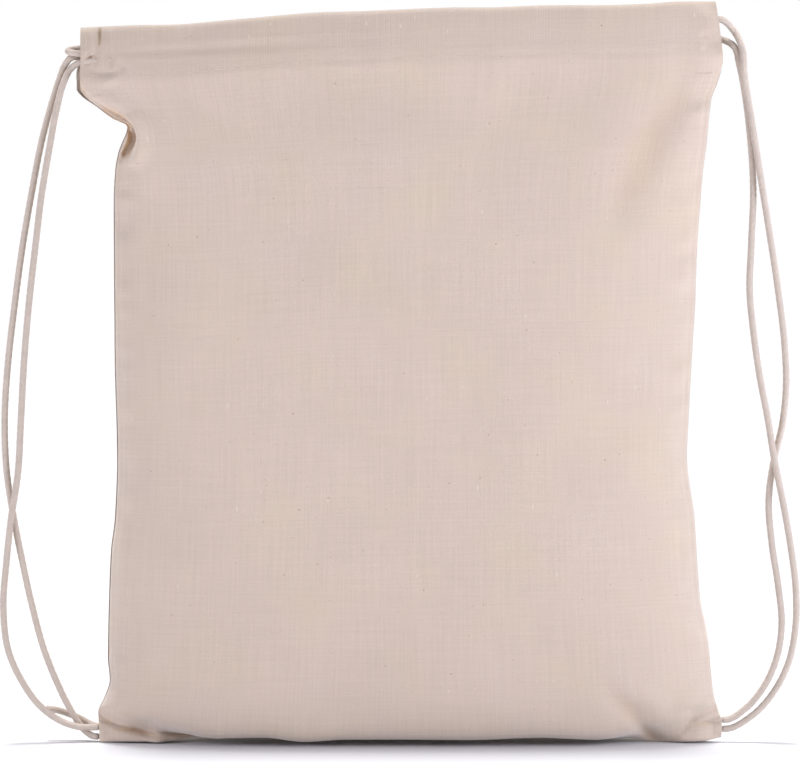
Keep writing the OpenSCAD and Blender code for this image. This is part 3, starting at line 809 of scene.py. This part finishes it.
def make_cloth(name, toward, creases, seed, drop, nodes, material):
    points, own_x, own_y, painted_crease_shade = cloth_surface(toward, creases, seed, drop)
    rows, cols = points.shape[:2]
    verts = points.reshape(-1, 3)
    uv = np.stack(np.meshgrid(own_x, own_y), axis=-1).reshape(-1, 2)
    obj = link_mesh(name, verts, grid_faces(rows, cols, flip=toward < 0), material, uv)
    set_blend(obj)
    # painted shade of the deep grooves, kept on the mesh for the material
    tint = obj.data.attributes.new("painted_fold_shade", "FLOAT", "POINT")
    tint.data.foreach_set("value", painted_crease_shade.astype(np.float32).ravel())
    thick = obj.modifiers.new("thickness", "SOLIDIFY")
    thick.thickness = CLOTH_T
    thick.offset = -1
    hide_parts(*nodes)
    return obj


# ---------------------------------------------------------------- sewing
def surface_finder(cloth, toward):
    """A function that gives the place and outward normal of a cloth's outside at (x, z)."""
    tree = BVHTree.FromPolygons([v.co for v in cloth.data.vertices],
                                [p.vertices for p in cloth.data.polygons])

    def find(x, z):
        start = Vector((x * MM, toward * 0.2, z * MM))
        place, normal, _, _ = tree.ray_cast(start, Vector((0, -toward, 0)))
        if place is None:
            return None
        if normal.y * toward < 0:
            normal = -normal
        return np.array(place), np.array(normal)

    return find


def thread_row(find, places, radius=THREAD_R, sink=0.2, rise=-0.02):
    """Stitches from place to place on a cloth, as (vertices, faces) pairs. Places are (x, z)."""
    parts = []
    for (x0, z0), (x1, z1) in places:
        path = []
        for t in (0, 0.08, 0.25, 0.5, 0.75, 0.92, 1):
            found = find(x0 + (x1 - x0) * t, z0 + (z1 - z0) * t)
            if found is None:
                break
            lift = -sink + (sink + rise) * math.sin(math.pi * t) ** 0.4
            path.append(found[0] + found[1] * lift * MM)
        if len(path) == 7:
            path = np.array(path)
            parts.append(tube_parts(path, np.full((7, 6), radius * MM), 6))
    return parts


def stitch_places(start, end):
    """Ends of the stitches along a straight line from start to end, in millimetres."""
    a, b = np.array(start, float), np.array(end, float)
    count = max(1, int(np.linalg.norm(b - a) / STITCH_PITCH))
    step = (b - a) / count
    filled = STITCH_LENGTH / STITCH_PITCH
    return [(a + step * i, a + step * (i + filled)) for i in range(count)]


def hem_row_places():
    """Ends of the stitches of the row along a hem's lower edge, in millimetres."""
    def place(x):
        return x, hem_low(x) + ROW_RISE + curve_value(TOP_WAVE, np.array(x))

    return [(place(x), place(x + STITCH_LENGTH)) for x in np.arange(-184, 178, STITCH_PITCH)]


def zigzag_places(start, end, width, count):
    """Ends of the threads of a bar tack: a dense zigzag along a line."""
    a, b = np.array(start, float), np.array(end, float)
    along = (b - a) / np.linalg.norm(b - a)
    across = np.array([-along[1], along[0]]) * width / 2
    knots = [a + (b - a) * i / count + across * (1 if i % 2 else -1) for i in range(count + 1)]
    return list(zip(knots[:-1], knots[1:]))


def make_threads(name, parts, material, nodes, body=None):
    verts, faces = joined(parts)
    obj = link_mesh(name, verts, faces, material)
    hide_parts(*nodes)
    if body:
        set_blend(obj)
    else:
        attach(obj, "bag")
    return obj


def make_sewing(front, back, material):
    find = {-1: surface_finder(front, -1), 1: surface_finder(back, 1)}
    for layer, toward in (("front", -1), ("back", 1)):
        rows = thread_row(find[toward], hem_row_places())
        make_threads(f"{layer}_hem_stitches", rows, material, [f"{layer}_hem_stitching"], f"{layer}_hem")
        ends = []
        for x in (-186, 179.5):
            mid = hem_mid(x * MM) / MM
            ends += thread_row(find[toward], stitch_places((x, mid - 9), (x, mid + 9)))
        make_threads(f"{layer}_casing_end_stitches", ends, material,
                     [f"{layer}_casing_end_stitching"], f"{layer}_hem")
    for name, start, end in (
        ("left_top_bartack", (-184, 383.5), (-176, 384.5)),
        ("right_top_bartack", (173, 397), (182, 397)),
        ("left_corner_bartack", (-177.5, 2), (-177.5, 12)),
        ("right_corner_bartack", (186.5, 4), (186.5, 14.5)),
    ):
        parts = []
        for toward in (-1, 1):
            parts += thread_row(find[toward], zigzag_places(start, end, 1.8, 16), 0.15, 0.16, 0)
        make_threads(f"{name}_threads", parts, material, [name])


def make_overlock(name, grid, material):
    """Loops of thread round the free edge of a seam's strip, given as an array (step, across, xyz)."""
    knots = []
    front = np.array([0, -0.62 * MM, 0])
    for row in grid:
        edge, inner = row[-1], row[2]
        over = (edge - inner) / np.linalg.norm(edge - inner) * 0.4 * MM
        knots += [inner + front, edge + over, inner - front]
    path = np.array(knots)
    sides = 5
    verts, faces = tube_parts(path, np.full((len(path), sides), THREAD_R * MM), sides)
    loops = link_mesh(name, verts, faces, material)
    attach(loops, "bag")


def make_seam(name, line, inward, node, cloth_material, thread_material):
    """Turned-in edges inside a seam, oversewn with thread. The line is the seam's (x, z) places."""
    margin, reach = 1, 8          # from the seam to the strip, and the strip's width
    widths = np.linspace(0, 1, 6)
    verts = []
    for k, (x, z) in enumerate(line):
        for w in widths:
            wave = 0.35 * math.sin(k * 0.55) * w + 0.2 * math.sin(k * 0.21 + w * 3)
            away = margin + reach * w
            verts.append((x + inward[0] * away, wave, z + inward[1] * away))
    verts = np.array(verts) * MM
    own = [(w * (margin + reach) * MM, k * SEAM_STEP * MM) for k in range(len(line)) for w in widths]
    obj = link_mesh(name, verts, grid_faces(len(line), len(widths)), cloth_material, own)
    thick = obj.modifiers.new("thickness", "SOLIDIFY")
    thick.thickness = EDGE_T
    thick.offset = 0
    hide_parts(node)
    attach(obj, "bag")
    make_overlock(f"{name}_overlock", verts.reshape(len(line), len(widths), 3), thread_material)


def make_seams(cloth_material, thread_material):
    def side_line(edge, top, sign):
        return [(sign * float(curve_value(edge, np.array(z))), z) for z in np.arange(24, top, SEAM_STEP)]

    bottom = [(x, float(curve_value(BOTTOM_WAVE, np.array(x)))) for x in np.arange(-160, 162, SEAM_STEP)]
    for name, line, inward in (
        ("left_side_seam", side_line(LEFT_EDGE, 384, -1), (1, 0)),
        ("right_side_seam", side_line(RIGHT_EDGE, 392, 1), (-1, 0)),
        ("bottom_seam", bottom, (0, 1)),
    ):
        make_seam(f"{name}_edges", line, inward, name, cloth_material, thread_material)


# ---------------------------------------------------------------- stage and light
def make_stage():
    n = Nodes("pale_floor")
    n.bsdf.inputs["Base Color"].default_value = (0.74, 0.74, 0.76, 1)
    n.bsdf.inputs["Roughness"].default_value = 0.8
    n.bsdf.inputs["Specular IOR Level"].default_value = 0.1
    half = 20.0
    verts = [(-half, -half, 0), (half, -half, 0), (half, half, 0), (-half, half, 0)]
    floor = link_mesh("floor", verts, [(0, 1, 2, 3)], n.material)
    floor.location.z = -0.0003


def aimed_light(name, kind, location, aim, power, colour=(1, 1, 1), size=None, angle=None):
    data = bpy.data.lights.new(name, kind)
    data.energy = power
    data.color = colour
    if size is not None:
        data.shape = "DISK"
        data.size = size
    if angle is not None:
        data.angle = angle
    light = bpy.data.objects.new(name, data)
    light.location = location
    light.rotation_mode = "QUATERNION"
    light.rotation_quaternion = (Vector(aim) - Vector(location)).to_track_quat("-Z", "Y")
    bpy.context.scene.collection.objects.link(light)


def make_light():
    scene = bpy.context.scene
    scene.view_settings.view_transform = "Standard"
    world = bpy.data.worlds.new("studio")
    world.use_nodes = True
    tree = world.node_tree
    ambient = tree.nodes["Background"]
    ambient.inputs["Color"].default_value = (1, 0.98, 0.94, 1)
    ambient.inputs["Strength"].default_value = 0.45
    white = tree.nodes.new("ShaderNodeBackground")
    white.inputs["Color"].default_value = (1, 1, 1, 1)
    white.inputs["Strength"].default_value = 1.0
    seen = tree.nodes.new("ShaderNodeLightPath")
    mix = tree.nodes.new("ShaderNodeMixShader")
    tree.links.new(seen.outputs["Is Camera Ray"], mix.inputs[0])
    tree.links.new(ambient.outputs[0], mix.inputs[1])
    tree.links.new(white.outputs[0], mix.inputs[2])
    tree.links.new(mix.outputs[0], tree.nodes["World Output"].inputs["Surface"])
    scene.world = world
    # overhead light from behind, which whitens the floor and throws the soft shadow forward
    aimed_light("overhead", "SUN", (-0.1, 0.4, 3.0), (0, 0, 0), 3.1, angle=math.radians(15))
    aimed_light("key", "AREA", (1.25, -0.8, 0.48), (0, 0, 0.21), 11, (0.945, 0.985, 1.16), size=0.6)
    aimed_light("fill", "AREA", (-1.45, -0.85, 0.42), (0, 0, 0.19), 7.8, (0.915, 0.95, 1.19), size=0.6)
    aimed_light("side", "AREA", (1.5, 0.0, 0.35), (0.17, 0, 0.2), 3.0, (0.91, 1.01, 1.22), size=0.5)


make_camera()
cord_cotton = yarn_material("cord_cotton_yarn", (0.53, 0.448, 0.39))
make_cords(cord_cotton)
cotton = cotton_material("natural_cotton_cloth", (0.571, 0.467, 0.388),
                         hem_start=upright_profile()[1][-1])
front_cloth = make_cloth("front_cloth", -1, FRONT_CREASES, 3, 0, ("front_panel", "front_casing"),
                         cotton)
back_cloth = make_cloth("back_cloth", 1, BACK_CREASES, 8, 2, ("back_panel", "back_casing"),
                        cotton)
thread = yarn_material("thread_yarn", (0.6, 0.5, 0.43), 3.0)
make_sewing(front_cloth, back_cloth, thread)
make_seams(cotton, thread)
make_stage()
make_light()
